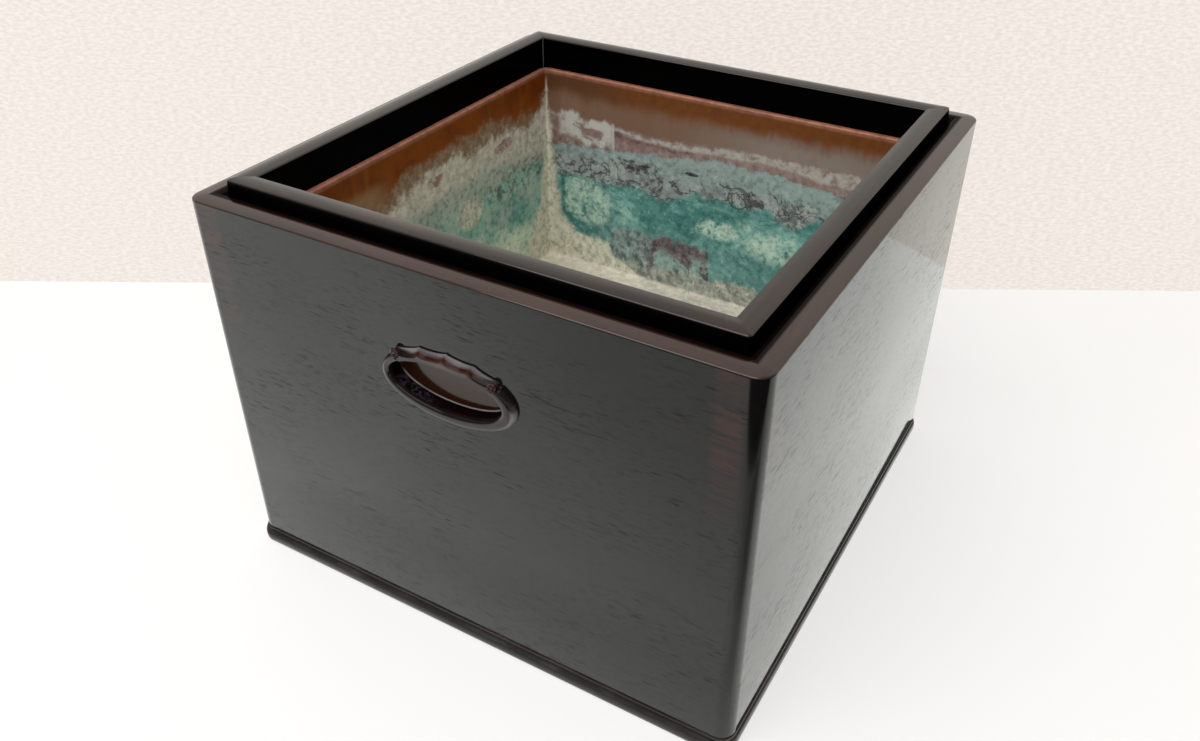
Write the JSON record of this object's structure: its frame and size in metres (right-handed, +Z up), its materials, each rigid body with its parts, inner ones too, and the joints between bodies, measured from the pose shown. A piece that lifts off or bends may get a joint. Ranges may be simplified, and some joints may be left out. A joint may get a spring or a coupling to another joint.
{
  "type": "square box hibachi",
  "caption": "Square dark wood charcoal brazier with a raised collar, rounded plinth, carved finger pulls and a lift-out copper liner.",
  "frame": {"origin": "bottom centre of the plinth, on the table", "axes": "+Z up through the mouth, the front with its finger pull faces -Y, +X to the right seen from the front"},
  "size_m": [0.3672, 0.3732, 0.2737],
  "materials": {
    "lacquered_case_wood": "wiped lacquer, semi-gloss",
    "collar_wood": "wiped lacquer, semi-gloss",
    "carved_pull_wood": "carved, wiped lacquer",
    "inner_softwood": "sawn and planed, bare",
    "copper_sheet": "weathered copper with verdigris and pale crusts",
    "rim_wire": "drawn wire",
    "screw_brass": "turned"
  },
  "bodies": {
    "case": {"back_board": "lacquered_case_wood", "bottom_board": "inner_softwood", "collar_rail_back": "collar_wood", "collar_rail_front": "collar_wood", "collar_rail_left": "collar_wood", "collar_rail_right": "collar_wood", "front_board": "lacquered_case_wood", "glue_block_back_left": "inner_softwood", "glue_block_back_right": "inner_softwood", "glue_block_front_left": "inner_softwood", "glue_block_front_right": "inner_softwood", "ledger_left": "inner_softwood", "ledger_right": "inner_softwood", "ledger_screw_left_1": "screw_brass", "ledger_screw_left_2": "screw_brass", "ledger_screw_left_3": "screw_brass", "ledger_screw_right_1": "screw_brass", "ledger_screw_right_2": "screw_brass", "ledger_screw_right_3": "screw_brass", "left_board": "lacquered_case_wood", "plate_screw_back_lower_left": "screw_brass", "plate_screw_back_lower_right": "screw_brass", "plate_screw_back_upper_left": "screw_brass", "plate_screw_back_upper_right": "screw_brass", "plate_screw_front_lower_left": "screw_brass", "plate_screw_front_lower_right": "screw_brass", "plate_screw_front_upper_left": "screw_brass", "plate_screw_front_upper_right": "screw_brass", "plinth_rail_back": "lacquered_case_wood", "plinth_rail_front": "lacquered_case_wood", "plinth_rail_left": "lacquered_case_wood", "plinth_rail_right": "lacquered_case_wood", "pull_back": "carved_pull_wood", "pull_front": "carved_pull_wood", "pull_plate_back": "inner_softwood", "pull_plate_front": "inner_softwood", "right_board": "lacquered_case_wood", "slat_1": "inner_softwood", "slat_2": "inner_softwood", "slat_3": "inner_softwood", "slat_4": "inner_softwood", "spline_back_left": "inner_softwood", "spline_back_right": "inner_softwood", "spline_front_left": "inner_softwood", "spline_front_right": "inner_softwood"},
    "liner": {"copper_liner": "copper_sheet", "liner_rim_wire": "rim_wire"}
  },
  "joints": [
    {"name": "liner_lift", "type": "slide", "parent": "case", "child": "liner", "axis": [0, 0, 1], "range_m": [0, 0.25]}
  ]
}
